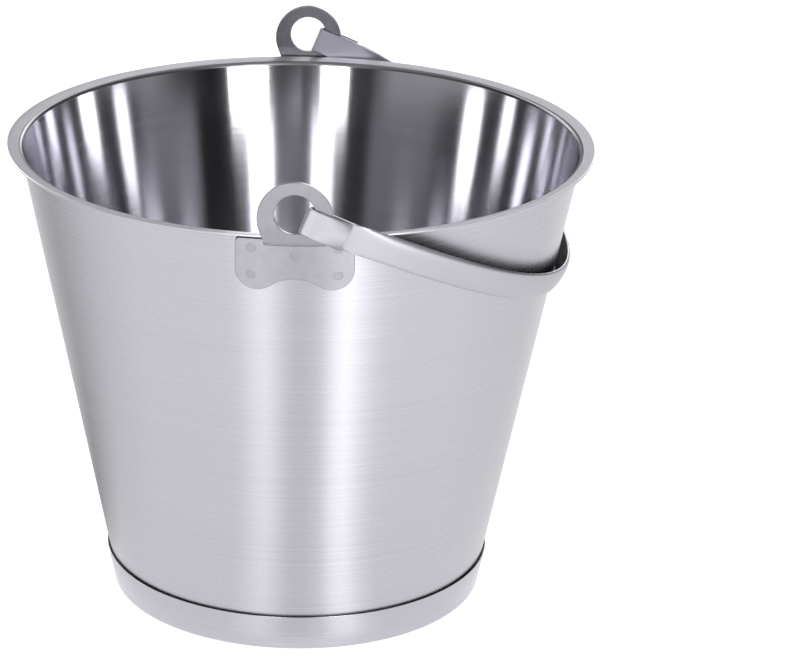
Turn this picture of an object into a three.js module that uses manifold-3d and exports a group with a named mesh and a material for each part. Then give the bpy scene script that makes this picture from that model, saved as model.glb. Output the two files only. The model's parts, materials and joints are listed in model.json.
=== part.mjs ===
// A stainless steel milk pail of about 12 litres, in millimetres, +Z up.
//
// The pail stands on the ground plane Z = 0 with its axis on Z. It is made the
// way a dairy pail is made: a pressed tapered body with a turned-out flange, a
// pressed foot that hugs the bottom of the wall, two stamped ears spot-welded
// to the wall below the flange, and a strap bail whose ends are folded through
// the ears. The ears face -Y and +Y, so the bail swings about the Y direction,
// and it hangs down on the +X side.

import * as THREE from 'three';
import { mergeVertices } from 'three/addons/utils/BufferGeometryUtils.js';
import Module from 'manifold-3d';

const wasm = await Module();
wasm.setup();

// ---------------------------------------------------------------- dimensions

const radians = THREE.MathUtils.degToRad;

const clearance = 0.3; // between pieces that touch on the real pail
const runningGap = 0.5; // between the bail and the plate it swings past
const strapGap = 0.4; // between the flange and the bail where it passes the rim

// Body
const rimHeight = 254; // top of the flange
const flangeRadius = 157.5; // edge of the flange
const wallRadiusAtRim = 151; // outside of the wall, carried up to the rim
const wallTaper = radians(11.35); // half-angle of the cone
const bodySheet = 1.2;
const floorUnderside = 10.5;
const floorCornerRadius = 10;
const flangeBendRadius = 1.8;

// Foot
const footSheet = 1;
const skirtHeight = 21; // how far the foot reaches up the wall
const footPlateUnderside = 8.3;
const footRollWidth = 4.9; // between the corners of the roll that stands on the ground
const footRollRadius = 2.3;
const footLegLean = radians(15); // inner leg of the roll
const footPlateRadius = 2.5; // bend where the leg meets the plate

// Ears. Heights are measured from the top of the flange.
const earPlate = 2;
const ringRadius = 18.85;
const ringHeight = 10.5;
const eyeRadius = 10.2; // hole for the bail
const eyeHeight = 12.6;
const creaseHeight = -6.3; // where the neck leaves the wall
const creaseHalfWidth = 13.7;
const kneeHeight = -3; // where the neck has passed the flange
const kneeOutset = 0.4; // how far the knee stays inside the ring plate
const upperBendHeight = 4.5; // where the ring plate begins
const neckBendRadius = 1.5; // at the crease and the knee
const upperBendRadius = 6;
const ringJoinAngle = radians(-18.5); // where the neck's sides meet the ring
const wingHalfWidth = 29.9;
const wingTop = -3.2;
const wingCornerRadius = 2.5;
const reliefHalfWidth = 15.4; // slot between the wings that frees the neck
const lobeRadius = 11;
const lobeHeight = -21.4;
const notchTop = -26;
const neckRoot = -9; // how far down the neck's outline overlaps the wings
const earSpread = radians(12.5); // half-angle of sheet that the outline is cut from
const trimMargin = 1; // sheet beyond the outline, above and below

// Spot welds, as [name, sideways, height from the top of the flange]
const weldRadius = 2.5;
const weldDip = 0.15; // how far a weld's face lies below the ear's face
const weldPlaces = [
  ['upper_left', -21.5, -8.3],
  ['upper_right', 21.5, -8.3],
  ['middle', 0, -12.3],
  ['lower_left', -21.5, -23.5],
  ['lower_right', 21.5, -23.5],
];

// Bail, in its own frame: X runs from the hinge to the middle of the grip
const bailSheet = 1.2;
const bailWidth = 15.5;
const bailReach = 163.4; // hinge to the outside of the grip
const bailArcRadius = 161.9; // outside of the strap
const bailDrop = radians(28.4); // below level at rest, lying against the wall
const bailCamber = 4.7; // rise of the strap above the line from hinge to grip
const gripDepth = 2.4; // how far the strap's edges curl towards the pail
const gripStart = 28; // distance from the hinge where the edges begin to curl
const gripFull = 55; // and where they are fully curled
const gripSquareness = 2.6; // 2 curls the section round, more keeps its middle flatter
const foldReach = 4.96; // hinge to the outside of the fold in the eye
const foldCornerRadius = 1.4;
const legBendRadius = 60; // eases the leg of the bail into its arc
const tabReach = 28.2; // hinge to the end of the folded-back tab

// Fineness of the round surfaces
const turnSegments = 72;
const bendSegments = 4;
const earColumns = 18;
const ringSegments = 26;
const lobeSegments = 8;
const weldSegments = 16;
const strapAcross = 6;
const strapArcSteps = 44;
const samePoint = 1e-4; // points closer than this are one

// Where the ring plate stands: the strap runs between the flange and the plate
const strapOutside = flangeRadius + strapGap + bailSheet;
const ringPlateMiddle = strapOutside + runningGap + earPlate / 2;
const tabMiddle = ringPlateMiddle + earPlate / 2 + runningGap + bailSheet / 2;
const hingeHeight = rimHeight + eyeHeight;
const foldMiddle = foldReach + bailSheet / 2;

// The outlines of an ear are cut through the sheet from this side of the wall to that
const cutStart = wallRadiusAtRim - 30;
const cutEnd = wallRadiusAtRim + 30;

// ------------------------------------------------------------------- helpers

/** Outside radius of the tapered wall at a height above the ground. */
function wallRadius(z) {
  return wallRadiusAtRim - (rimHeight - z) * Math.tan(wallTaper);
}

/** A radial distance for a step taken square to the tapered wall. */
function acrossWall(distance) {
  return distance / Math.cos(wallTaper);
}

/** Points on an arc, both ends included. */
function arc(centreX, centreY, radius, from, to, steps) {
  const points = [];
  for (let i = 0; i <= steps; i++) {
    const angle = from + ((to - from) * i) / steps;
    points.push(new THREE.Vector2(
      centreX + radius * Math.cos(angle),
      centreY + radius * Math.sin(angle),
    ));
  }
  return points;
}

/** Rounds the corners [x, y, radius] of an open line; the first and last stay sharp. */
function roundCorners(corners) {
  const points = [new THREE.Vector2(corners[0][0], corners[0][1])];
  for (let i = 1; i < corners.length - 1; i++) {
    const corner = new THREE.Vector2(corners[i][0], corners[i][1]);
    const back = new THREE.Vector2(corners[i - 1][0], corners[i - 1][1]).sub(corner).normalize();
    const ahead = new THREE.Vector2(corners[i + 1][0], corners[i + 1][1]).sub(corner).normalize();
    const halfOpening = Math.acos(THREE.MathUtils.clamp(back.dot(ahead), -1, 1)) / 2;
    const radius = corners[i][2];
    const centre = back.clone().add(ahead).normalize()
      .multiplyScalar(radius / Math.sin(halfOpening)).add(corner);
    const start = back.clone().multiplyScalar(radius / Math.tan(halfOpening)).add(corner).sub(centre);
    const end = ahead.clone().multiplyScalar(radius / Math.tan(halfOpening)).add(corner).sub(centre);
    const from = start.angle();
    let turn = end.angle() - from;
    turn -= 2 * Math.PI * Math.round(turn / (2 * Math.PI));
    points.push(...arc(centre.x, centre.y, radius, from, from + turn, bendSegments));
  }
  const last = corners[corners.length - 1];
  points.push(new THREE.Vector2(last[0], last[1]));
  return points;
}

/** The line moved sideways, to its left for a positive distance. */
function offsetLine(points, distance) {
  return points.map((point, i) => {
    const before = points[Math.max(i - 1, 0)];
    const after = points[Math.min(i + 1, points.length - 1)];
    const arriving = i > 0 ? point.clone().sub(before).normalize() : null;
    const leaving = i < points.length - 1 ? after.clone().sub(point).normalize() : null;
    const way = (arriving ?? leaving).clone().add(leaving ?? arriving).normalize();
    const mitre = arriving && leaving ? way.dot(arriving) : 1;
    return new THREE.Vector2(-way.y, way.x).multiplyScalar(distance / mitre).add(point);
  });
}

/** A pressed round piece: a sheet that follows a line from the axis out to its edge. */
function turnedSheet(middleLine, thickness) {
  const under = offsetLine(middleLine, -thickness / 2);
  const over = offsetLine(middleLine, thickness / 2);
  const geometry = new THREE.LatheGeometry([...under, ...over.reverse()], turnSegments);
  return geometry.rotateX(Math.PI / 2);
}

/** A closed skin over rows of points; each row loops clockwise, seen from the last row. */
function skin(rows) {
  const around = rows[0].length;
  const faces = [];
  for (let r = 0; r < rows.length - 1; r++) {
    for (let c = 0; c < around; c++) {
      const a = r * around + c;
      const b = r * around + ((c + 1) % around);
      faces.push(a, b + around, b, a, a + around, b + around);
    }
  }
  const lastRow = (rows.length - 1) * around;
  for (let c = 0; c < around / 2 - 1; c++) {
    const facing = around - 1 - c; // the point across the sheet from point c
    faces.push(c, c + 1, facing - 1, c, facing - 1, facing);
    faces.push(lastRow + c, lastRow + facing - 1, lastRow + c + 1);
    faces.push(lastRow + c, lastRow + facing, lastRow + facing - 1);
  }
  const positions = rows.flat().flatMap((p) => [p.x, p.y, p.z]);
  const geometry = new THREE.BufferGeometry();
  geometry.setAttribute('position', new THREE.Float32BufferAttribute(positions, 3));
  geometry.setIndex(faces);
  geometry.computeVertexNormals();
  return geometry;
}

/** A three.js geometry as a solid that can be cut and joined. */
function toSolid(geometry) {
  const bare = new THREE.BufferGeometry();
  bare.setAttribute('position', geometry.getAttribute('position').clone());
  if (geometry.index) bare.setIndex(geometry.index.clone());
  const merged = mergeVertices(bare, samePoint);
  return new wasm.Manifold(new wasm.Mesh({
    numProp: 3,
    vertProperties: new Float32Array(merged.getAttribute('position').array),
    triVerts: new Uint32Array(merged.index.array),
  }));
}

/** A cut or joined solid as a three.js geometry. */
function toGeometry(solid) {
  const mesh = solid.getMesh();
  const geometry = new THREE.BufferGeometry();
  geometry.setAttribute('position', new THREE.Float32BufferAttribute(mesh.vertProperties, 3));
  geometry.setIndex(Array.from(mesh.triVerts));
  geometry.computeVertexNormals();
  return geometry;
}

/** A named piece of stainless steel with its own material. */
function steelPiece(name, geometry, color, roughness) {
  const material = new THREE.MeshStandardMaterial({ color, roughness, metalness: 1 });
  const mesh = new THREE.Mesh(geometry, material);
  mesh.name = name;
  return mesh;
}

// ---------------------------------------------------------------------- body

/** The tapered vessel: flat floor, rounded corner, wall and turned-out flange. */
function pailBody() {
  const floor = floorUnderside + bodySheet / 2;
  const flange = rimHeight - bodySheet / 2;
  const wallMiddle = (z) => wallRadius(z) - acrossWall(bodySheet / 2);
  const middleLine = roundCorners([
    [0, floor],
    [wallMiddle(floor), floor, floorCornerRadius],
    [wallMiddle(flange), flange, flangeBendRadius],
    [flangeRadius, flange],
  ]);
  return steelPiece('pail_body', turnedSheet(middleLine, bodySheet), 0xc4c3cb, 0.28);
}

// ---------------------------------------------------------------------- foot

/** The foot: a plate under the floor, a roll that stands on the ground, and a skirt. */
function footBase() {
  const plate = footPlateUnderside + footSheet / 2;
  const ground = footSheet / 2;
  const skirtMiddle = (z) => wallRadius(z) + acrossWall(clearance + footSheet / 2);
  const rollInside = skirtMiddle(ground) - footRollWidth;
  const middleLine = roundCorners([
    [0, plate],
    [rollInside - (plate - ground) * Math.tan(footLegLean), plate, footPlateRadius],
    [rollInside, ground, footRollRadius],
    [skirtMiddle(ground), ground, footRollRadius],
    [skirtMiddle(skirtHeight), skirtHeight],
  ]);
  return steelPiece('foot_base', turnedSheet(middleLine, footSheet), 0xbfbfc7, 0.35);
}

// ---------------------------------------------------------------------- ears

/** Outline of the wings: rounded lobes joined by a hollow, with a slot for the neck. */
function wingOutline() {
  const rise = lobeHeight - notchTop;
  const lobeX = wingHalfWidth - lobeRadius;
  const notchRadius = (lobeX ** 2 + rise ** 2 - lobeRadius ** 2) / (2 * (lobeRadius - rise));
  const notchCentre = notchTop - notchRadius;
  const touch = Math.atan2(lobeHeight - notchCentre, lobeX);
  const cornerX = wingHalfWidth - wingCornerRadius;
  const cornerZ = wingTop - wingCornerRadius;
  const right = [
    new THREE.Vector2(reliefHalfWidth, creaseHeight),
    new THREE.Vector2(reliefHalfWidth, wingTop),
    ...arc(cornerX, cornerZ, wingCornerRadius, Math.PI / 2, 0, bendSegments),
    ...arc(lobeX, lobeHeight, lobeRadius, 0, touch - Math.PI, lobeSegments * 2),
    ...arc(0, notchCentre, notchRadius, touch, Math.PI / 2, lobeSegments).slice(1),
  ];
  return new THREE.Shape(mirrorHalf(right));
}

/** Outline of the neck and the ring, with the eye for the bail. */
function ringOutline() {
  const right = [
    new THREE.Vector2(creaseHalfWidth, neckRoot),
    new THREE.Vector2(creaseHalfWidth, creaseHeight),
    ...arc(0, ringHeight, ringRadius, ringJoinAngle, Math.PI / 2, ringSegments / 2),
  ];
  const shape = new THREE.Shape(mirrorHalf(right));
  shape.holes.push(new THREE.Path(arc(0, eyeHeight, eyeRadius, 0, 2 * Math.PI, ringSegments)));
  return shape;
}

/** A closed outline from its right half; points on the middle line aren't repeated. */
function mirrorHalf(right) {
  const left = right.map((p) => new THREE.Vector2(-p.x, p.y)).reverse();
  return [...right, ...left.filter((p) => Math.abs(p.x) > samePoint)];
}

/** The solid that keeps what lies inside an outline of the ear, seen square to the ring. */
function cutter(shape) {
  const depth = cutEnd - cutStart;
  const geometry = new THREE.ExtrudeGeometry(shape, { depth, bevelEnabled: false });
  geometry.rotateX(Math.PI / 2);
  geometry.translate(0, cutEnd, rimHeight);
  return toSolid(geometry);
}

/** How flat the neck is at a height: round like the wall at the crease, flat at the knee. */
function neckFlatness(z) {
  return THREE.MathUtils.smoothstep(z, rimHeight + creaseHeight, rimHeight + kneeHeight);
}

/** A strip of the ear's sheet that follows a line up, curved round the pail unless flat. */
function bentSheet(middleLine, flatnessAt) {
  const rows = [];
  const inner = offsetLine(middleLine, earPlate / 2);
  const outer = offsetLine(middleLine, -earPlate / 2);
  for (let c = 0; c <= earColumns; c++) {
    const angle = earSpread * ((2 * c) / earColumns - 1);
    const side = (line) => line.map((p, i) => {
      const flatness = flatnessAt(middleLine[i].y);
      const x = THREE.MathUtils.lerp(p.x, wallRadiusAtRim, flatness) * Math.sin(angle);
      const y = THREE.MathUtils.lerp(p.x * Math.cos(angle), p.x, flatness);
      return new THREE.Vector3(x, y, p.y);
    });
    rows.push([...side(inner), ...side(outer).reverse()]);
  }
  return toSolid(skin(rows));
}

/** Places something square to the wall, at a weld's spot, this far off the wall. */
function placeOnWall(object, sideways, height, offWall) {
  const z = rimHeight + height;
  const angle = Math.asin(sideways / wallRadius(z));
  const outward = new THREE.Vector3(
    Math.sin(angle) * Math.cos(wallTaper),
    Math.cos(angle) * Math.cos(wallTaper),
    -Math.sin(wallTaper),
  );
  object.position.set(Math.sin(angle) * wallRadius(z), Math.cos(angle) * wallRadius(z), z);
  object.position.addScaledVector(outward, offWall);
  object.quaternion.setFromUnitVectors(new THREE.Vector3(0, 1, 0), outward);
  return object;
}

/** The seat of a spot weld, which is cut out of the ear. */
function weldSeat([, sideways, height]) {
  const radius = weldRadius + clearance;
  const drill = new THREE.Mesh(
    new THREE.CylinderGeometry(radius, radius, 4 * earPlate, weldSegments),
  );
  placeOnWall(drill, sideways, height, 0).updateMatrix();
  return toSolid(drill.geometry.applyMatrix4(drill.matrix));
}

/** One stamped ear on the +Y side: wings on the wall, a stepped neck and a flat ring. */
function earGeometry() {
  const onWall = (height) => [
    wallRadius(rimHeight + height) + acrossWall(clearance + earPlate / 2),
    rimHeight + height,
  ];
  const lowest = lobeHeight - lobeRadius - trimMargin;
  const highest = ringHeight + ringRadius + trimMargin;
  const wingLine = [onWall(lowest), onWall(0)].map(([y, z]) => new THREE.Vector2(y, z));
  const neckLine = roundCorners([
    onWall(lowest),
    [...onWall(creaseHeight), neckBendRadius],
    [ringPlateMiddle - kneeOutset, rimHeight + kneeHeight, neckBendRadius],
    [ringPlateMiddle, rimHeight + upperBendHeight, upperBendRadius],
    [ringPlateMiddle, rimHeight + highest],
  ]);
  const wings = bentSheet(wingLine, () => 0).intersect(cutter(wingOutline()));
  const ring = bentSheet(neckLine, neckFlatness).intersect(cutter(ringOutline()));
  const seats = weldPlaces.map(weldSeat);
  return toGeometry(seats.reduce((ear, seat) => ear.subtract(seat), wings.add(ring)));
}

/** An ear with its spot welds, turned to face front (-Y) or back (+Y). */
function earAssembly(side, turn) {
  const group = new THREE.Group();
  group.add(steelPiece(`ear_${side}`, earGeometry(), 0xbab9c0, 0.45));
  const thickness = earPlate - weldDip;
  for (const [place, sideways, height] of weldPlaces) {
    const disc = new THREE.CylinderGeometry(weldRadius, weldRadius, thickness, weldSegments);
    const weld = steelPiece(`weld_${side}_${place}`, disc, 0xa9a8b0, 0.5);
    group.add(placeOnWall(weld, sideways, height, clearance + thickness / 2));
  }
  group.rotation.z = turn;
  return group;
}

// ---------------------------------------------------------------------- bail

/** The strap's middle line from the end of one tab, through the eye, to the grip. */
function halfStrap() {
  const legY = strapOutside - bailSheet / 2;
  const radius = bailArcRadius - bailSheet / 2;
  const centreX = bailReach - bailArcRadius;
  const joinAngle = Math.acos(legY / radius);
  const legEnd = [centreX + radius * Math.sin(joinAngle), -legY];
  const arcStart = -Math.PI / 2 + joinAngle;
  const bend = arc(centreX, 0, radius, arcStart, 0, strapArcSteps / 2).slice(1);
  const legs = roundCorners([
    [tabReach, -tabMiddle],
    [foldMiddle, -tabMiddle, foldCornerRadius],
    [foldMiddle, -legY, foldCornerRadius],
    [...legEnd, legBendRadius],
    [bend[0].x, bend[0].y],
  ]);
  return [...legs, ...bend.slice(1)];
}

/** The strap's cross-section at a distance from the hinge: flat at first, then curled. */
function strapSection(distance) {
  const curl = gripDepth * THREE.MathUtils.smoothstep(distance, gripStart, gripFull);
  const middle = [];
  for (let i = 0; i <= strapAcross; i++) {
    const angle = (Math.PI / 2) * ((2 * i) / strapAcross - 1);
    const across = Math.sign(angle) * Math.abs(Math.sin(angle)) ** (2 / gripSquareness);
    const inward = 1 - Math.cos(angle) ** (2 / gripSquareness);
    middle.push(new THREE.Vector2((bailWidth - bailSheet) / 2 * across, -curl * inward));
  }
  const outside = offsetLine(middle, bailSheet / 2);
  const inside = offsetLine(middle, -bailSheet / 2);
  return [...outside, ...inside.reverse()];
}

/** The bail: a strap folded back through both eyes, curled along its grip. */
function bailStrap() {
  const half = halfStrap();
  const otherHalf = half.slice(0, -1).map((p) => new THREE.Vector2(p.x, -p.y)).reverse();
  const path = [...half, ...otherHalf];
  const aside = offsetLine(path, -1);
  const rows = path.map((point, i) => {
    const along = (point.x - foldMiddle) / (bailReach - foldMiddle);
    const lift = 4 * bailCamber * along * (1 - along);
    const lean = Math.atan((4 * bailCamber) / bailReach) * Math.max(1 - 2 * along, 0);
    const outward = aside[i].clone().sub(point);
    return strapSection(point.x).map((s) => new THREE.Vector3(
      point.x + outward.x * s.y - s.x * Math.sin(lean),
      point.y + outward.y * s.y,
      lift + s.x * Math.cos(lean),
    ));
  });
  return steelPiece('bail_handle', skin(rows), 0xc9c8cf, 0.25);
}

/** The bail hung on its hinge line, dropped until it lies against the wall. */
function hungBail() {
  const group = new THREE.Group();
  group.add(bailStrap());
  group.position.z = hingeHeight;
  group.rotation.y = bailDrop;
  return group;
}

// ------------------------------------------------------------------ assembly

const milkPail = new THREE.Group();
milkPail.add(
  pailBody(),
  footBase(),
  earAssembly('front', Math.PI),
  earAssembly('back', 0),
  hungBail(),
);

export default milkPail;
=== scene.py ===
"""The milk pail's looks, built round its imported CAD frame. Metres, +Z up.

The pressed and stamped pieces are rebuilt here as fine meshes on the same
dimensions, so that brushed and polished steel shows clean reflections.
"""

import json
import math
from itertools import accumulate
from math import radians

import bmesh
import bpy
from mathutils import Matrix, Vector


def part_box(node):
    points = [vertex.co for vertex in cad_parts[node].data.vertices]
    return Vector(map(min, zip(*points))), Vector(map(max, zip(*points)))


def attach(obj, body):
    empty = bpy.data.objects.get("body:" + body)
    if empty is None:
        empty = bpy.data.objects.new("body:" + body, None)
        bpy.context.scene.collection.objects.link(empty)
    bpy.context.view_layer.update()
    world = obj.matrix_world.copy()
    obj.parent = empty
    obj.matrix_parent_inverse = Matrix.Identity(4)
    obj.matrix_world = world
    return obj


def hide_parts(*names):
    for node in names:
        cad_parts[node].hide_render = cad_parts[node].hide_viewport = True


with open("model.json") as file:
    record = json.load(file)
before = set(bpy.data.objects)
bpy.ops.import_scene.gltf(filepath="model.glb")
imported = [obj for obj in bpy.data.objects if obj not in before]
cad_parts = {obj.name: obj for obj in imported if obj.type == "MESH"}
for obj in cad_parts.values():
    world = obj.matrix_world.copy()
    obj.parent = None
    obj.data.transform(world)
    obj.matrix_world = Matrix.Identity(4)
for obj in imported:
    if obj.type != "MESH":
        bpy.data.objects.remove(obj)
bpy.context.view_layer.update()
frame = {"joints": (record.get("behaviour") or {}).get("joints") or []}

MM = 0.001
QUARTER = math.pi / 2

# ------------------------------------------------------------ sizes from the frame

body_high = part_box("pail_body")[1]
foot_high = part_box("foot_base")[1]
ear_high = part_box("ear_back")[1]
hinge = Vector(frame["joints"][0]["pos_m"])
RIM = body_high.z
FLANGE_EDGE = body_high.x
PLATE_FACE = ear_high.y  # outer face of the ears' ring plates
WING_HALF = ear_high.x
SKIRT_TOP = foot_high.z

# --------------------------------------------------------- sizes the frame can't say

GAP = 0.3 * MM
WALL_TAPER = radians(11.35)
WALL_AT_RIM = 151 * MM
BODY_SHEET = 1.2 * MM
BODY_CORNER = 0.45 * MM
FLOOR_UNDERSIDE = 10.5 * MM
FLOOR_CORNER = 10 * MM
FLANGE_BEND = 1.8 * MM
FLANGE_RISE = radians(10)  # the flange's edge stands a little above its bend

FOOT_SHEET = 1 * MM
FOOT_CORNER = 0.15 * MM
FOOT_PLATE = 8.3 * MM
ROLL_WIDTH = 4.9 * MM
ROLL_BEND = 2.3 * MM
LEG_LEAN = radians(15)
PLATE_BEND = 2.5 * MM

# the ears' heights are measured from the flange's top; RING, EYE, LOBE and WELD are radii
EAR_PLATE = 2 * MM
EAR_CORNER = 0.3 * MM
RING = 18.85 * MM
RING_MIDDLE = 10.5 * MM
EYE = 10.2 * MM
EYE_MIDDLE = 12.6 * MM
CREASE = -6.3 * MM
CREASE_HALF = 13.7 * MM
KNEE = -3 * MM
KNEE_OUTSET = 0.4 * MM
UPPER_BEND = 4.5 * MM
NECK_BEND = 1.5 * MM
UPPER_BEND_RADIUS = 6 * MM
RING_JOIN = radians(-18.5)
WING_TOP = -3.6 * MM
WING_CORNER = 2.5 * MM
RELIEF_HALF = 15.4 * MM
LOBE = 11 * MM
LOBE_MIDDLE = -21.4 * MM
NOTCH_TOP = -26 * MM

WELD = 2.5 * MM
WELD_LIP = 0.12 * MM
WELD_HOLLOW = 0.35  # height of the mark's middle, as a share of its lip's
WELD_PLACES = {
    "upper_left": (-21.5 * MM, -8.3 * MM),
    "upper_right": (21.5 * MM, -8.3 * MM),
    "middle": (0, -12.3 * MM),
    "lower_left": (-21.5 * MM, -23.5 * MM),
    "lower_right": (21.5 * MM, -23.5 * MM),
}

STRAP = 1.2 * MM
STRAP_WIDTH = 15.5 * MM
STRAP_CORNER = 0.4 * MM
STRAP_GAP = 0.4 * MM
RUNNING_GAP = 0.5 * MM
LEG_Y = FLANGE_EDGE + STRAP_GAP + STRAP / 2
TAB_Y = PLATE_FACE + RUNNING_GAP + STRAP / 2
BAIL_REACH = 163.4 * MM
BAIL_ARC = 161.9 * MM
BAIL_DROP = radians(28.4)
BAIL_CAMBER = 4.7 * MM
GRIP_DEPTH = 2.4 * MM
GRIP_START = 28 * MM
GRIP_FULL = 55 * MM
GRIP_SQUARENESS = 2.6
FOLD = 4.96 * MM + STRAP / 2
FOLD_CORNER = 1.4 * MM
PINCH = 4.2 * MM  # the tab steps out over the ear this far from the fold
PINCH_DEPTH = 0.6 * MM
PINCH_CORNER = 1 * MM
TAB_END = 28.2 * MM
LEG_BEND = 60 * MM
LEG_EASE = radians(4)  # how far round its arc the bail's curve takes over from its leg

# ------------------------------------------------------------- fineness of the meshes

TURN_SEGMENTS = 288
BEND_STEPS = 10
CAP_STEPS = 4
WING_ROW = 3 * MM
RING_ROW = 4 * MM
FIRST_RING_ROW = 14 * MM
BEND_ROWS = 44
ROWS_BELOW_CREASE = 6
EAR_COLUMN = 2.5 * MM
EAR_COLUMNS = 11
WELD_RINGS = 10
WELD_SEGMENTS = 48
STRAP_STEPS = 28
CARD_STEPS = 180


# ---------------------------------------------------------------------- 2-D lines

def arc(centre, radius, start, end, steps):
    """Points on an arc, both ends included."""
    x, y = centre
    angles = [start + (end - start) * i / steps for i in range(steps + 1)]
    return [Vector((x + radius * math.cos(a), y + radius * math.sin(a))) for a in angles]


def rounded(corners):
    """Rounds the corners (x, y, radius) of an open line; its two ends stay as they are."""
    points = [Vector(corners[0][:2])]
    for before, corner, after in zip(corners, corners[1:], corners[2:]):
        here = Vector(corner[:2])
        back = (Vector(before[:2]) - here).normalized()
        ahead = (Vector(after[:2]) - here).normalized()
        half = back.angle(ahead) / 2
        radius = corner[2]
        centre = here + (back + ahead).normalized() * radius / math.sin(half)
        first = here + back * radius / math.tan(half) - centre
        last = here + ahead * radius / math.tan(half) - centre
        start = math.atan2(first.y, first.x)
        turn = math.atan2(last.y, last.x) - start
        turn -= 2 * math.pi * round(turn / (2 * math.pi))
        points += arc(centre, radius, start, start + turn, BEND_STEPS)
    return points + [Vector(corners[-1][:2])]


def offset(line, distance):
    """The line moved sideways, to its left for a positive distance."""
    moved = []
    for i, point in enumerate(line):
        arriving = (point - line[i - 1]).normalized() if i else None
        leaving = (line[i + 1] - point).normalized() if i < len(line) - 1 else None
        way = ((arriving or leaving) + (leaving or arriving)).normalized()
        mitre = way.dot(arriving) if arriving and leaving else 1
        moved.append(point + Vector((-way.y, way.x)) * distance / mitre)
    return moved


def cap(line, thickness, corner):
    """The end of a sheet that follows the line, with its two edges rounded, right side first."""
    ahead = (line[-1] - line[-2]).normalized()
    left = Vector((-ahead.y, ahead.x))
    heading = math.atan2(ahead.y, ahead.x)
    inset = thickness / 2 - corner
    right_centre = line[-1] - left * inset - ahead * corner
    left_centre = line[-1] + left * inset - ahead * corner
    points = arc(right_centre, corner, heading - QUARTER, heading, CAP_STEPS)
    return points + arc(left_centre, corner, heading, heading + QUARTER, CAP_STEPS)


def smoothstep(value, low, high):
    """Rises from 0 at low to 1 at high, level at both ends."""
    share = min(max((value - low) / (high - low), 0), 1)
    return share * share * (3 - 2 * share)


def between(stops, place):
    """The value at a place, in a list of stops (place, value) whose places climb."""
    for (start, low), (end, high) in zip(stops, stops[1:]):
        if place <= end:
            break
    return low + (high - low) * (place - start) / (end - start)


# --------------------------------------------------------------------- mesh pieces

def finish_piece(name, mesh, materials, body, node):
    """Puts a mesh in the scene as a piece that rides on a body and stands for a CAD node."""
    for polygon in mesh.polygons:
        polygon.use_smooth = True
    for material in materials:
        mesh.materials.append(material)
    piece = bpy.data.objects.new(name, mesh)
    bpy.context.scene.collection.objects.link(piece)
    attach(piece, body)
    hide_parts(node)
    return piece


def flatten_shading(piece):
    """Weights the normals by area, so that flat stretches beside a bend look flat."""
    piece.modifiers.new("flat_stretches", "WEIGHTED_NORMAL")


def soften_edges(piece, width, material):
    """A small rounding along a stamped piece's sheared edges, in one of its materials."""
    bevel = piece.modifiers.new("rounding", "BEVEL")
    bevel.width = width
    bevel.material = material
    bevel.segments = 3
    bevel.limit_method = "ANGLE"
    bevel.angle_limit = radians(50)
    bevel.use_clamp_overlap = False
    bevel.harden_normals = True


def mesh_from(bm, name):
    """The finished mesh, with its faces pointing out."""
    bmesh.ops.recalc_face_normals(bm, faces=bm.faces)
    mesh = bpy.data.meshes.new(name)
    bm.to_mesh(mesh)
    bm.free()
    return mesh


def join_rings(bm, low, high, segments):
    """The faces between two rings of vertices; a ring of one vertex is a point on the axis."""
    faces = []
    for i in range(segments):
        j = (i + 1) % segments
        around = [low[i % len(low)], low[j % len(low)], high[j % len(high)], high[i % len(high)]]
        faces.append(bm.faces.new(list(dict.fromkeys(around))))
    return faces


def turned_mesh(name, section, finishes, materials):
    """Turns a section of (radius, height) points about Z; finishes has each stretch's material."""
    bm = bmesh.new()
    rings = []
    for point in section:
        on_axis = abs(point.x) < 0.01 * MM
        count = 1 if on_axis else TURN_SEGMENTS
        rings.append([bm.verts.new(spun(point, i)) for i in range(count)])
    for finish, low, high in zip(finishes, rings, rings[1:]):
        for face in join_rings(bm, low, high, TURN_SEGMENTS):
            face.material_index = materials.index(finish)
    return mesh_from(bm, name)


def spun(point, i):
    """A section's point turned about Z to one of the turning's segments."""
    angle = 2 * math.pi * i / TURN_SEGMENTS
    return (point.x * math.cos(angle), point.x * math.sin(angle), point.y)


# ----------------------------------------------------------------------- materials

NOISE_LOW, NOISE_HIGH = 0.3, 0.7  # nearly all of a noise's values lie between these
TURNED_LINES = (5, 5, 1500)  # how finely the noise is divided along X, Y and Z
DRAWN_LINES = (12, 2200, 1)  # the same, along and across the strap
GRAINS_PER_CLOUD = 9
STRAP_UV = "strap"  # metres along the strap from its nearer end, less TAB_END, and across it


def add(tree, kind, **inputs):
    """A new node with some of its inputs set or linked by name."""
    node = tree.nodes.new(kind)
    for name, value in inputs.items():
        socket = node.inputs[name.replace("_", " ")]
        if isinstance(value, bpy.types.NodeSocket):
            tree.links.new(value, socket)
        else:
            socket.default_value = value
    return node


def own_frame(tree):
    """Coordinates in the piece's own frame."""
    return add(tree, "ShaderNodeTexCoord").outputs["Object"]


def grain(tree, coordinates, detail, scale=1, stretch=(1, 1, 1)):
    """Noise on the coordinates, stretched along each axis; gives its factor."""
    mapping = add(tree, "ShaderNodeMapping", Vector=coordinates, Scale=stretch)
    placed = mapping.outputs["Vector"]
    return add(tree, "ShaderNodeTexNoise", Vector=placed, Scale=scale, Detail=detail).outputs["Fac"]


def spread(tree, factor, low, high, from_low=NOISE_LOW, from_high=NOISE_HIGH):
    """Maps a factor to a range of values."""
    limits = {"From_Min": from_low, "From_Max": from_high, "To_Min": low, "To_Max": high}
    return add(tree, "ShaderNodeMapRange", Value=factor, **limits).outputs["Result"]


def varied(tree, factor, value, share):
    """A value that a noise factor varies up and down by a share of itself."""
    return spread(tree, factor, value * (1 - share), value * (1 + share))


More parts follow.
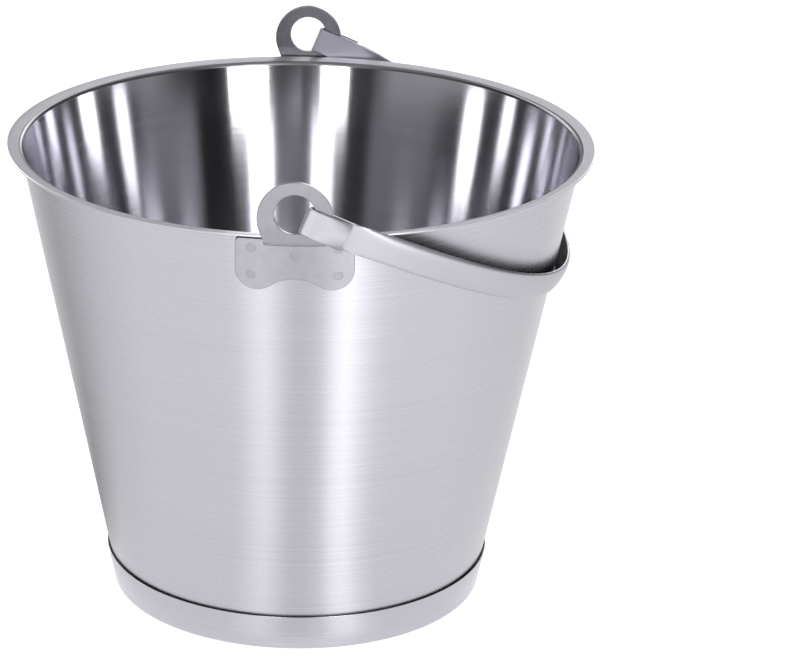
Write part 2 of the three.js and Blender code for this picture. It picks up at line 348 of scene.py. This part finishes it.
def tinted(tree, factor, tone, darkest, lightest):
    """A tone that a noise factor varies between two shares of itself."""
    ramp = add(tree, "ShaderNodeValToRGB", Fac=factor)
    for stop, place, share in zip(ramp.color_ramp.elements, (NOISE_LOW, NOISE_HIGH), (darkest, lightest)):
        stop.position = place
        stop.color = (*(channel * share for channel in tone), 1)
    return ramp.outputs["Color"]


def new_steel(name):
    """A metal material, its node tree and its shader."""
    material = bpy.data.materials.new(name)
    material.use_nodes = True
    tree = material.node_tree
    shader = tree.nodes["Principled BSDF"]
    shader.inputs["Metallic"].default_value = 1
    return material, tree, shader


def roughen(tree, shader, factor, strength, depth):
    """Fine relief on a shader, by a noise factor."""
    bump = add(tree, "ShaderNodeBump", Strength=strength, Distance=depth, Height=factor)
    tree.links.new(bump.outputs["Normal"], shader.inputs["Normal"])


def draw_gloss(tree, shader, anisotropy, tangent):
    """Stretches a shader's highlights across the lines that the tangent follows."""
    shader.inputs["Anisotropic"].default_value = anisotropy
    tree.links.new(tangent.outputs["Tangent"], shader.inputs["Tangent"])


def turned_steel(name, tone, roughness, anisotropy, line_depth):
    """Steel brushed or polished on a lathe: fine lines run round the pail."""
    material, tree, shader = new_steel(name)
    if anisotropy:
        tangent = tree.nodes.new("ShaderNodeTangent")
        tangent.direction_type = "RADIAL"
        tangent.axis = "Z"
        shader.inputs["Anisotropic Rotation"].default_value = 0.25
        draw_gloss(tree, shader, anisotropy, tangent)
    lines = grain(tree, own_frame(tree), detail=5, stretch=TURNED_LINES)
    colour = tinted(tree, lines, tone, darkest=0.96, lightest=1.04)
    tree.links.new(colour, shader.inputs["Base Color"])
    tree.links.new(varied(tree, lines, roughness, share=0.08), shader.inputs["Roughness"])
    roughen(tree, shader, lines, strength=0.5, depth=line_depth)
    return material


def stamped_steel(name, tone, roughness, clouds, depth):
    """Matte or soft-polished sheet with a faint cloudy grain and no direction."""
    material, tree, shader = new_steel(name)
    cloud = grain(tree, own_frame(tree), detail=6, scale=clouds)
    fine = grain(tree, own_frame(tree), detail=3, scale=clouds * GRAINS_PER_CLOUD)
    colour = tinted(tree, cloud, tone, darkest=0.95, lightest=1.04)
    tree.links.new(colour, shader.inputs["Base Color"])
    tree.links.new(varied(tree, fine, roughness, share=0.06), shader.inputs["Roughness"])
    roughen(tree, shader, fine, strength=0.4, depth=depth)
    return material


def drawn_steel(name, tone, roughness, anisotropy, hollow=1):
    """Polished strap whose fine lines run along its length, by the strap's own UV map.

    Where the strap is curled, the tone falls to the hollow's share of itself: painted shade in
    the hollow behind the grip.
    """
    material, tree, shader = new_steel(name)
    tangent = tree.nodes.new("ShaderNodeTangent")
    tangent.direction_type = "UV_MAP"
    tangent.uv_map = STRAP_UV
    draw_gloss(tree, shader, anisotropy, tangent)
    layout = tree.nodes.new("ShaderNodeUVMap")
    layout.uv_map = STRAP_UV
    lines = grain(tree, layout.outputs["UV"], detail=3, stretch=DRAWN_LINES)
    colour = tinted(tree, lines, tone, darkest=0.97, lightest=1.02)
    if hollow < 1:
        along = add(tree, "ShaderNodeSeparateXYZ", Vector=layout.outputs["UV"]).outputs["X"]
        share = spread(tree, along, 1, hollow, GRIP_START, GRIP_FULL)
        scaled = tree.nodes.new("ShaderNodeVectorMath")
        scaled.operation = "SCALE"
        tree.links.new(colour, scaled.inputs["Vector"])
        tree.links.new(share, scaled.inputs["Scale"])
        colour = scaled.outputs["Vector"]
    tree.links.new(colour, shader.inputs["Base Color"])
    tree.links.new(varied(tree, lines, roughness, share=0.05), shader.inputs["Roughness"])
    return material


# name, tone, roughness, anisotropy and depth of the lines
OUTSIDE = turned_steel("brushed_outside", (0.5, 0.495, 0.54), 0.27, 0.85, 0.0018 * MM)
INSIDE = turned_steel("polished_inside", (0.58, 0.575, 0.61), 0.12, 0.9, 0.001 * MM)
FLANGE = turned_steel("flange_steel", (0.57, 0.565, 0.605), 0.36, 0, 0.0005 * MM)
# painted shade: the flange's inner bend is painted near-black
BEND_PAINTED_SHADE = turned_steel("bend_painted_shade", (0.16, 0.158, 0.17), 0.3, 0, 0.0005 * MM)
FOOT = turned_steel("foot_steel", (0.49, 0.485, 0.53), 0.26, 0.85, 0.0007 * MM)

# name, tone, roughness, clouds per metre and depth of the grain
# painted shade: near-black for the foot's seam and for the ears' edges under the flange
PAINTED_SEAM_SHADE = stamped_steel("seam_shadow", (0.03, 0.03, 0.031), 0.6, 400, 0.001 * MM)
EAR = stamped_steel("ear_steel", (0.38, 0.376, 0.41), 0.33, 180, 0.0001 * MM)
# painted shade: the ears' ring and upper neck are darker than the wings of the same plate
RING_PAINTED_SHADE = stamped_steel("ring_painted_shade", (0.31, 0.307, 0.335), 0.33, 180, 0.0001 * MM)
# painted shade: the ears' inner sides are painted darker than their outer sides
EAR_BACK_PAINTED_SHADE = stamped_steel("ear_back_painted_shade", (0.2, 0.198, 0.213), 0.26, 180, 0.0001 * MM)
EDGE = stamped_steel("sheared_edge", (0.24, 0.235, 0.25), 0.35, 300, 0.0002 * MM)
MARK = stamped_steel("weld_mark", (0.34, 0.336, 0.365), 0.36, 700, 0.0005 * MM)

# name, tone, roughness and anisotropy
BAIL = drawn_steel("bail_steel", (0.455, 0.45, 0.49), 0.38, 0.5)
# painted shade: the strap's inner side darkens to near-black along the curled grip
BAIL_HOLLOW_PAINTED_SHADE = drawn_steel("bail_back_painted_shade", (0.5, 0.495, 0.54), 0.34, 0.5, hollow=0.05)


# -------------------------------------------------------------------- body and foot

def wall_radius(z):
    """Outside radius of the tapered wall."""
    return WALL_AT_RIM - (RIM - z) * math.tan(WALL_TAPER)


def across_wall(distance):
    """A radial distance for a step taken square to the wall."""
    return distance / math.cos(WALL_TAPER)


def sheet_section(line, thickness, corner):
    """Section of a turned sheet: its under side, its rounded end and its upper side."""
    under = offset(line, -thickness / 2)
    over = offset(line, thickness / 2)
    end = cap(line, thickness, corner)
    return under[:-1], end, over[-2::-1]


def pail_body():
    """The vessel: brushed outside, polished inside, with a satin flange and a bend painted dark as
    painted shade.

    The flange's finish covers its under side, its edge and its top.
    """
    floor = FLOOR_UNDERSIDE + BODY_SHEET / 2
    edge = RIM - BODY_SHEET / 2
    def wall(z):
        """Radius of the middle of the wall's sheet."""
        return wall_radius(z) - across_wall(BODY_SHEET / 2)
    bend = edge - (FLANGE_EDGE - wall(edge)) * math.tan(FLANGE_RISE)
    line = rounded([
        (0, floor),
        (wall(floor), floor, FLOOR_CORNER),
        (wall(bend), bend, FLANGE_BEND),
        (FLANGE_EDGE, edge),
    ])
    under, end, over = sheet_section(line, BODY_SHEET, BODY_CORNER)
    finishes = [
        *[OUTSIDE] * (len(under) - 1),
        *[FLANGE] * (len(end) + 1),
        *[BEND_PAINTED_SHADE] * BEND_STEPS,
        *[INSIDE] * len(over),
    ]
    materials = [OUTSIDE, INSIDE, FLANGE, BEND_PAINTED_SHADE]
    mesh = turned_mesh("pail_shell", under + end + over, finishes, materials)
    shell = finish_piece("pail_shell", mesh, materials, "pail", "pail_body")
    flatten_shading(shell)


def foot():
    """The pressed foot: closing plate, ground roll and skirt up the wall.

    The skirt's top and the corner inside it are painted near-black, as painted shade of the seam.
    """
    plate = FOOT_PLATE + FOOT_SHEET / 2
    ground = FOOT_SHEET / 2
    def skirt(z):
        """Radius of the middle of the skirt's sheet."""
        return wall_radius(z) + across_wall(GAP + FOOT_SHEET / 2)
    roll = skirt(ground) - ROLL_WIDTH
    line = rounded([
        (0, plate),
        (roll - (plate - ground) * math.tan(LEG_LEAN), plate, PLATE_BEND),
        (roll, ground, ROLL_BEND),
        (skirt(ground), ground, ROLL_BEND),
        (skirt(SKIRT_TOP), SKIRT_TOP),
    ])
    under, end, over = sheet_section(line, FOOT_SHEET, FOOT_CORNER)
    half_end = len(end) // 2
    # painted shade on the skirt's top and inner corner; its outer corner keeps the foot's steel
    finishes = [FOOT] * (len(under) + half_end - 1) + [PAINTED_SEAM_SHADE] * half_end + [FOOT] * len(over)
    materials = [FOOT, PAINTED_SEAM_SHADE]
    mesh = turned_mesh("foot_ring", under + end + over, finishes, materials)
    ring = finish_piece("foot_ring", mesh, materials, "pail", "foot_base")
    flatten_shading(ring)


# ----------------------------------------------------------------------------- ears

EAR_MATERIALS = [EAR, RING_PAINTED_SHADE, EAR_BACK_PAINTED_SHADE, PAINTED_SEAM_SHADE, EDGE]
WINGS, NECK, BACK, SHADED, SHEARED = range(5)  # their indices


def ear_half():
    """Right half of an ear's outline as (sideways, height), with half of its eye.

    The notch below the middle is an arc that touches the lobes on its two sides.
    """
    rise = LOBE_MIDDLE - NOTCH_TOP
    lobe_x = WING_HALF - LOBE
    notch = (lobe_x ** 2 + rise ** 2 - LOBE ** 2) / (2 * (LOBE - rise))
    notch_centre = NOTCH_TOP - notch
    touch = math.atan2(LOBE_MIDDLE - notch_centre, lobe_x)
    corner = (WING_HALF - WING_CORNER, WING_TOP - WING_CORNER)
    return [
        *arc((0, notch_centre), notch, QUARTER, touch, steps=16)[:-1],
        *arc((lobe_x, LOBE_MIDDLE), LOBE, touch - math.pi, 0, steps=40),
        *arc(corner, WING_CORNER, 0, QUARTER, steps=10),
        Vector((RELIEF_HALF, WING_TOP)),
        Vector((RELIEF_HALF, CREASE)),
        Vector((CREASE_HALF, CREASE)),
        *arc((0, RING_MIDDLE), RING, RING_JOIN, QUARTER, steps=56),
        *arc((0, EYE_MIDDLE), EYE, QUARTER, -QUARTER, steps=48),
    ]


def ear_faces():
    """An ear's inner and outer face, each a line up its wings and a line up its neck.

    A line is a list of (z, radius).
    """
    def on_wall(height):
        """Radius and z of the middle of a plate that lies against the wall."""
        return (wall_radius(RIM + height) + across_wall(GAP + EAR_PLATE / 2), RIM + height)
    plate_middle = PLATE_FACE - EAR_PLATE / 2
    lowest = LOBE_MIDDLE - LOBE - MM
    highest = RING_MIDDLE + RING + MM
    wing_line = [Vector(on_wall(lowest)), Vector(on_wall(0))]
    neck_line = rounded([
        on_wall(lowest),
        (*on_wall(CREASE), NECK_BEND),
        (plate_middle - KNEE_OUTSET, RIM + KNEE, NECK_BEND),
        (plate_middle, RIM + UPPER_BEND, UPPER_BEND_RADIUS),
        (plate_middle, RIM + highest),
    ])
    faces = []
    for side in (1, -1):
        lines = [offset(line, side * EAR_PLATE / 2) for line in (wing_line, neck_line)]
        faces.append([[(point.y, point.x) for point in line] for line in lines])
    return faces


def neck_half(height):
    """Half the neck's width: even below the crease, widening from there up to the ring."""
    join_x = RING * math.cos(RING_JOIN)
    join_height = RING_MIDDLE + RING * math.sin(RING_JOIN)
    share = (height - CREASE) / (join_height - CREASE)
    return CREASE_HALF + (join_x - CREASE_HALF) * max(share, 0)


def on_ear(x, height, face):
    """A point on one face of the back ear, which is curved round the wall.

    The neck flattens from the crease up to the knee, and is flat from there.
    """
    wing, neck = face
    z = RIM + height
    in_neck = height > WING_TOP + GAP or abs(x) < (neck_half(height) + RELIEF_HALF) / 2
    radius = between(neck if in_neck else wing, z)
    flatness = smoothstep(height, CREASE, KNEE) if in_neck else 0
    curved = math.sqrt(max(radius ** 2 - x ** 2, 0))
    return Vector((x, curved + (radius - curved) * flatness, z))


def ear_levels():
    """Heights where an ear's sheet is divided: finely through its bends, widely elsewhere."""
    bend_row = (UPPER_BEND + UPPER_BEND_RADIUS - CREASE) / BEND_ROWS
    wings = [WING_ROW * i for i in range(-10, -2)]
    bends = [CREASE + bend_row * i for i in range(-ROWS_BELOW_CREASE, BEND_ROWS + 1)]
    ring = [FIRST_RING_ROW + RING_ROW * i for i in range(4)]
    return wings + bends + ring


def ear_sheet():
    """Half of the flat outline divided into cells, then mirrored."""
    bm = bmesh.new()
    bm.faces.new([bm.verts.new((p.x, p.y, 0)) for p in ear_half()])
    columns = [EAR_COLUMN * (i + 1) for i in range(EAR_COLUMNS)]
    cuts = [((x, 0, 0), (1, 0, 0)) for x in columns] + [((0, z, 0), (0, 1, 0)) for z in ear_levels()]
    for place, across in cuts:
        everything = [*bm.verts, *bm.edges, *bm.faces]
        bmesh.ops.bisect_plane(bm, geom=everything, dist=1e-7, plane_co=place, plane_no=across)
    half = [*bm.verts, *bm.edges, *bm.faces]
    copied = bmesh.ops.duplicate(bm, geom=half)["geom"]
    for vertex in copied:
        if isinstance(vertex, bmesh.types.BMVert):
            vertex.co.x *= -1
    bmesh.ops.remove_doubles(bm, verts=bm.verts, dist=0.1 * MM)
    bm.verts.index_update()
    return bm


def outer_finish(face):
    """The material on the outer side of one of the flat sheet's faces; the neck and ring take a darker
    tone, painted shade.
    """
    middle = face.calc_center_median()
    on_neck = middle.y > CREASE and abs(middle.x) < RELIEF_HALF
    return NECK if on_neck or middle.y > WING_TOP else WINGS


def edge_finish(edge):
    """The material along one of the flat sheet's outer edges: painted shade just under the flange."""
    under_flange = all(WING_TOP - WING_CORNER / 2 < v.co.y < WING_TOP + GAP for v in edge.verts)
    return SHADED if under_flange else SHEARED


def ear_mesh(name, turn):
    """The flat sheet given its bends and its thickness, then turned to its side of the pail."""
    flat = ear_sheet()
    inner_face, outer_face = ear_faces()
    bm = bmesh.new()
    outer = [bm.verts.new(on_ear(v.co.x, v.co.y, outer_face)) for v in flat.verts]
    inner = [bm.verts.new(on_ear(v.co.x, v.co.y, inner_face)) for v in flat.verts]
    for face in flat.faces:
        around = [v.index for v in face.verts]
        bm.faces.new([outer[i] for i in around]).material_index = outer_finish(face)
        bm.faces.new([inner[i] for i in reversed(around)]).material_index = BACK
    for edge in flat.edges:
        if edge.is_boundary:
            a, b = (v.index for v in edge.verts)
            bm.faces.new([outer[a], outer[b], inner[b], inner[a]]).material_index = edge_finish(edge)
    flat.free()
    bm.transform(Matrix.Rotation(turn, 4, "Z"))
    return mesh_from(bm, name)


def ear(side, turn):
    """A stamped ear: ring with an eye, stepped neck and wings."""
    name = f"ear_plate_{side}"
    mesh = ear_mesh(name, turn)
    plate = finish_piece(name, mesh, EAR_MATERIALS, "pail", f"ear_{side}")
    soften_edges(plate, EAR_CORNER, SHEARED)


def weld_disc():
    """A weld's mark lying flat: a low disc, hollow in its middle, that goes down into the ear."""
    bm = bmesh.new()
    rings = []
    for ring in range(WELD_RINGS + 1):
        share = ring / WELD_RINGS
        hollow = WELD_HOLLOW + (1 - WELD_HOLLOW) * share ** 4
        rise = WELD_LIP * hollow * min(1, (1 - share) * WELD_RINGS)
        count = WELD_SEGMENTS if ring else 1
        flat = arc((0, 0), WELD * share, 0, 2 * math.pi, WELD_SEGMENTS)[:count]
        rings.append([bm.verts.new((point.x, point.y, rise)) for point in flat])
    depth = EAR_PLATE - GAP
    base = [bm.verts.new((vertex.co.x, vertex.co.y, -depth)) for vertex in rings[-1]]
    rings.append(base)
    for low, high in zip(rings, rings[1:]):
        join_rings(bm, low, high, WELD_SEGMENTS)
    bm.faces.new(base[::-1])
    return bm


def weld_mark(side, place, turn):
    """One spot weld's mark, square to the ear's wings."""
    sideways, height = WELD_PLACES[place]
    z = RIM + height
    radius = wall_radius(z)
    angle = math.asin(sideways / radius)
    outward = Vector((
        math.sin(angle) * math.cos(WALL_TAPER),
        math.cos(angle) * math.cos(WALL_TAPER),
        -math.sin(WALL_TAPER),
    ))
    on_wall = Vector((math.sin(angle) * radius, math.cos(angle) * radius, z))
    upright = outward.to_track_quat("Z", "Y").to_matrix().to_4x4()
    bm = weld_disc()
    bm.transform(Matrix.Translation(on_wall + outward * (GAP + EAR_PLATE)) @ upright)
    bm.transform(Matrix.Rotation(turn, 4, "Z"))
    name = f"weld_mark_{side}_{place}"
    finish_piece(name, mesh_from(bm, name), [MARK], "pail", f"weld_{side}_{place}")


# ----------------------------------------------------------------------------- bail

BAIL_MATERIALS = [BAIL, BAIL_HOLLOW_PAINTED_SHADE]
OUTER_SIDE, INNER_SIDE = range(2)  # their indices
INNER_FACES = STRAP_STEPS - 1 + CAP_STEPS  # across the strap's inner side and its upper corner


def half_strap():
    """The strap's middle line from the end of one tab, through the eye, to the grip."""
    radius = BAIL_ARC - STRAP / 2
    centre_x = BAIL_REACH - BAIL_ARC
    join = math.acos(LEG_Y / radius)
    bend = arc((centre_x, 0), radius, join + LEG_EASE - QUARTER, 0, steps=72)
    legs = rounded([
        (TAB_END, -TAB_Y),
        (FOLD + PINCH, -TAB_Y, PINCH_CORNER),
        (FOLD, PINCH_DEPTH - TAB_Y, FOLD_CORNER),
        (FOLD, -LEG_Y, FOLD_CORNER),
        (centre_x + radius * math.sin(join), -LEG_Y, LEG_BEND),
        (bend[0].x, bend[0].y),
    ])
    return legs + bend[1:]


def strap_section(distance):
    """The strap's section at a distance from the hinge: flat at first, then curled."""
    curl = GRIP_DEPTH * smoothstep(distance, GRIP_START, GRIP_FULL)
    half = STRAP_WIDTH / 2 - STRAP / 2
    power = 2 / GRIP_SQUARENESS
    middle = []
    for i in range(STRAP_STEPS + 1):
        angle = QUARTER * (2 * i / STRAP_STEPS - 1)
        across = math.copysign(abs(math.sin(angle)) ** power, angle)
        inward = 1 - max(math.cos(angle), 0) ** power
        middle.append(Vector((half * across, -curl * inward)))
    far = cap(middle, STRAP, STRAP_CORNER)
    near = cap(middle[::-1], STRAP, STRAP_CORNER)
    outside = offset(middle, STRAP / 2)[1:-1]
    inside = offset(middle, -STRAP / 2)[1:-1]
    return inside + far + outside[::-1] + near


def strap_ring(bm, point, outward):
    """The vertices of the strap's section at a point: the bail is cambered and its legs lean."""
    along = (point.x - FOLD) / (BAIL_REACH - FOLD)
    lift = 4 * BAIL_CAMBER * along * (1 - along)
    lean = math.atan(4 * BAIL_CAMBER / BAIL_REACH) * max(1 - 2 * along, 0)
    return [bm.verts.new((
        point.x + outward.x * s.y - s.x * math.sin(lean),
        point.y + outward.y * s.y,
        lift + s.x * math.cos(lean),
    )) for s in strap_section(point.x)]


def strap_mesh(name, path):
    """The strap's sections joined along its middle line, with a UV map in metres."""
    bm = bmesh.new()
    rows = [strap_ring(bm, point, out - point) for point, out in zip(path, offset(path, -1))]
    lengths = [0, *accumulate((b - a).length for a, b in zip(path, path[1:]))]
    along = [min(length, lengths[-1] - length) - TAB_END for length in lengths]
    across = [s.x for s in strap_section(0)]
    layout = bm.loops.layers.uv.new(STRAP_UV)
    count = len(across)
    for r, (low, high) in enumerate(zip(rows, rows[1:])):
        in_tab = abs(path[r].y) > (LEG_Y + TAB_Y) / 2
        for i in range(count):
            j = (i + 1) % count
            face = bm.faces.new([low[i], low[j], high[j], high[i]])
            face.material_index = INNER_SIDE if i < INNER_FACES and not in_tab else OUTER_SIDE
            places = ((r, i), (r, j), (r + 1, j), (r + 1, i))
            for loop, (row, column) in zip(face.loops, places):
                loop[layout].uv = (along[row], across[column])
    bm.faces.new(rows[0])
    bm.faces.new(rows[-1][::-1])
    bm.transform(Matrix.Translation(hinge) @ Matrix.Rotation(BAIL_DROP, 4, "Y"))
    return mesh_from(bm, name)


def bail():
    """The bail: a strap folded back through both eyes, curled along its grip."""
    half = half_strap()
    path = half + [Vector((p.x, -p.y)) for p in half[-2::-1]]
    mesh = strap_mesh("bail_strap", path)
    strap = finish_piece("bail_strap", mesh, BAIL_MATERIALS, "bail", "bail_handle")
    flatten_shading(strap)


# -------------------------------------------------------------------------- studio

# azimuth, width and lowest height in degrees, and radiance
SOFTBOXES = {
    "softbox_front_right": (155, 17, -6, 8),
    "softbox_front_left": (-167, 12, -6, 5.5),
    "softbox_back_left": (-38, 24, -2, 4),
    "softbox_back_right": (17, 20, -2, 4),
}
SOFTBOX_TOP = 50
SOFTBOX_DISTANCE = 2.4

CAMERA_AZIMUTH = -0.7  # in degrees, from straight in front of the pail
CAMERA_ELEVATION = 20.85
CAMERA_ROLL = 1.37
CAMERA_DISTANCE = 1.9
CAMERA_AIM = Vector((55, 0, 146.8)) * MM

# radius, then the shares of the bright and of the dark tones: close to the foot the bright
# stretches fade and the dark ones deepen, a painted shadow of the pail on the floor
CARD_RINGS = ((0.11, 0.45, 1.6), (0.35, 1, 1), (0.9, 1, 1))
CARD_HEIGHT = 0.2 * MM  # just clear of the floor
CARD_TONES = "tone"

# azimuth in degrees and grey
CARD_STOPS = (
    (0, 1.05), (20, 1), (60, 0.98), (90, 1.12), (115, 1.23), (148, 1.23), (154, 1.5), (160, 2.1),
    (165, 1.9), (170, 1.15), (176, 0.98), (183, 0.98), (187, 1.3), (192, 1.65), (197, 1.5),
    (203, 1.2), (245, 1.17), (270, 0.98), (298, 0.55), (330, 0.7), (350, 0.85), (360, 1.05),
)
WALL_STOPS = (
    (-180, 0.08), (-152, 0.06), (-142, 0.4), (-98, 0.49), (-90, 0.02), (-62, 0.02), (-54, 0.3),
    (-20, 0.4), (5, 0.36), (32, 0.3), (38, 0.04), (54, 0.06), (62, 0.36), (112, 0.36),
    (125, 0.08), (140, 0.01), (180, 0.08),
)
WALL_BLUE = 1.04  # the walls' blue, as a share of their grey


def direction(azimuth, elevation):
    """A unit vector; azimuth 0 is +Y and 90 is +X, in degrees."""
    a, e = radians(azimuth), radians(elevation)
    return Vector((math.sin(a) * math.cos(e), math.cos(a) * math.cos(e), math.sin(e)))


def camera():
    """The view: from the front, about 21 degrees above the horizon, through a long lens."""
    aim = Matrix.Rotation(radians(CAMERA_AZIMUTH), 3, "Z") @ CAMERA_AIM
    ahead = -direction(180 - CAMERA_AZIMUTH, CAMERA_ELEVATION)
    level = ahead.cross(Vector((0, 0, 1))).normalized()
    upright = level.cross(ahead)
    roll = radians(CAMERA_ROLL)
    right = level * math.cos(roll) + upright * math.sin(roll)
    above = upright * math.cos(roll) - level * math.sin(roll)
    data = bpy.data.cameras.new("camera")
    data.lens = 156.2
    data.sensor_width = 36
    data.clip_end = 200
    view = bpy.data.objects.new("camera", data)
    bpy.context.scene.collection.objects.link(view)
    axes = Matrix((right, above, -ahead)).transposed().to_4x4()
    view.matrix_world = Matrix.Translation(aim - ahead * CAMERA_DISTANCE) @ axes
    bpy.context.scene.camera = view


def add_light(name, kind):
    """A light that the camera doesn't see."""
    light = bpy.data.objects.new(name, bpy.data.lights.new(name, kind))
    bpy.context.scene.collection.objects.link(light)
    light.visible_camera = False
    return light


def softbox(name, azimuth, width, low, radiance):
    """A tall soft light facing the pail; azimuth, width and lowest height in degrees."""
    light = add_light(name, "AREA")
    bottom = SOFTBOX_DISTANCE * math.tan(radians(low))
    top = SOFTBOX_DISTANCE * math.tan(radians(SOFTBOX_TOP))
    light.data.shape = "RECTANGLE"
    light.data.size = 2 * SOFTBOX_DISTANCE * math.tan(radians(width / 2))
    light.data.size_y = top - bottom
    light.data.energy = radiance * math.pi * light.data.size * light.data.size_y
    outward = direction(azimuth, 0)
    light.location = outward * SOFTBOX_DISTANCE + Vector((0, 0, (bottom + top) / 2 + RIM))
    light.rotation_mode = "QUATERNION"
    light.rotation_quaternion = outward.to_track_quat("Z", "Y")


def overhead():
    """A broad, weak light from straight above."""
    light = add_light("overhead", "SUN")
    light.data.energy = 0.7
    light.data.angle = radians(70)


def card_grey(turn, ring):
    """The card's grey at an azimuth, on one of its rings."""
    grey = between(CARD_STOPS, turn)
    bright_share, dark_share = ring[1:]
    return 1 + (grey - 1) * (bright_share if grey > 1 else dark_share)


def card_mesh(name):
    """The card's rings of faces, with its greys in a colour layer."""
    bm = bmesh.new()
    tones = bm.loops.layers.float_color.new(CARD_TONES)
    for i in range(CARD_STEPS):
        start, end = (360 * (i + k) / CARD_STEPS for k in (0, 1))
        for near, far in zip(CARD_RINGS, CARD_RINGS[1:]):
            corners = [(start, near), (start, far), (end, far), (end, near)]
            face = bm.faces.new([bm.verts.new(direction(turn, 0) * ring[0]) for turn, ring in corners])
            for loop, (turn, ring) in zip(face.loops, corners):
                grey = card_grey(turn, ring)
                loop[tones] = (grey, grey, grey, 1)
    return mesh_from(bm, name)


def card_glow(name):
    """A material that shines in the card's greys."""
    material = bpy.data.materials.new(name)
    material.use_nodes = True
    tree = material.node_tree
    tree.nodes.remove(tree.nodes["Principled BSDF"])
    painted = tree.nodes.new("ShaderNodeVertexColor")
    painted.layer_name = CARD_TONES
    glow = add(tree, "ShaderNodeEmission", Color=painted.outputs["Color"])
    tree.links.new(glow.outputs["Emission"], tree.nodes["Material Output"].inputs["Surface"])
    return material


def floor_card():
    """A graded card on the floor round the pail, seen only in the pail's reflections."""
    name = "floor_glow"
    mesh = card_mesh(name)
    mesh.materials.append(card_glow(name))
    card = bpy.data.objects.new(name, mesh)
    card.location.z = CARD_HEIGHT
    bpy.context.scene.collection.objects.link(card)
    card.visible_camera = False
    card.visible_diffuse = False
    card.visible_shadow = False


def pale_floor():
    """A plain floor, lit a little from below as a light table is."""
    half = 40
    mesh = bpy.data.meshes.new("floor")
    corners = [(-half, -half, 0), (half, -half, 0), (half, half, 0), (-half, half, 0)]
    mesh.from_pydata(corners, [], [(0, 1, 2, 3)])
    material = bpy.data.materials.new("floor")
    material.use_nodes = True
    shader = material.node_tree.nodes["Principled BSDF"]
    shader.inputs["Base Color"].default_value = (0.45, 0.45, 0.455, 1)
    shader.inputs["Roughness"].default_value = 0.9
    shader.inputs["Specular IOR Level"].default_value = 0
    shader.inputs["Emission Color"].default_value = (1, 1, 1, 1)
    shader.inputs["Emission Strength"].default_value = 0.78
    mesh.materials.append(material)
    floor = bpy.data.objects.new("floor", mesh)
    bpy.context.scene.collection.objects.link(floor)


def turn_share(tree):
    """The azimuth of a direction on the walls: 0 at -180 degrees and 1 at 180."""
    way = add(tree, "ShaderNodeTexCoord").outputs["Generated"]
    split = add(tree, "ShaderNodeSeparateXYZ", Vector=way)
    azimuth = tree.nodes.new("ShaderNodeMath")
    azimuth.operation = "ARCTAN2"
    tree.links.new(split.outputs["X"], azimuth.inputs[0])
    tree.links.new(split.outputs["Y"], azimuth.inputs[1])
    return spread(tree, azimuth.outputs[0], 0, 1, -math.pi, math.pi)


def studio_walls():
    """The room round the pail: mid-grey walls, darker between the lights."""
    world = bpy.data.worlds.new("studio_walls")
    bpy.context.scene.world = world
    world.use_nodes = True
    tree = world.node_tree
    background = tree.nodes["Background"]
    background.inputs["Strength"].default_value = 1
    ramp = add(tree, "ShaderNodeValToRGB", Fac=turn_share(tree))
    elements = ramp.color_ramp.elements
    ready_made = len(elements)
    for i, (degrees, grey) in enumerate(WALL_STOPS):
        place = (degrees + 180) / 360
        stop = elements[i] if i < ready_made else elements.new(place)
        stop.position = place
        stop.color = (grey, grey, grey * WALL_BLUE, 1)
    tree.links.new(ramp.outputs["Color"], background.inputs["Color"])


def true_tones():
    """Shows colours as they are, and lets light bounce often enough inside the pail."""
    scene = bpy.context.scene
    scene.view_settings.view_transform = "Standard"
    scene.cycles.glossy_bounces = 10
    scene.cycles.max_bounces = 14


def main():
    """Makes the view, the pieces of the pail and the studio."""
    camera()
    pail_body()
    foot()
    for side, turn in (("front", math.pi), ("back", 0)):
        ear(side, turn)
        for place in WELD_PLACES:
            weld_mark(side, place, turn)
    bail()
    for name, facts in SOFTBOXES.items():
        softbox(name, *facts)
    overhead()
    pale_floor()
    floor_card()
    studio_walls()
    true_tones()


main()
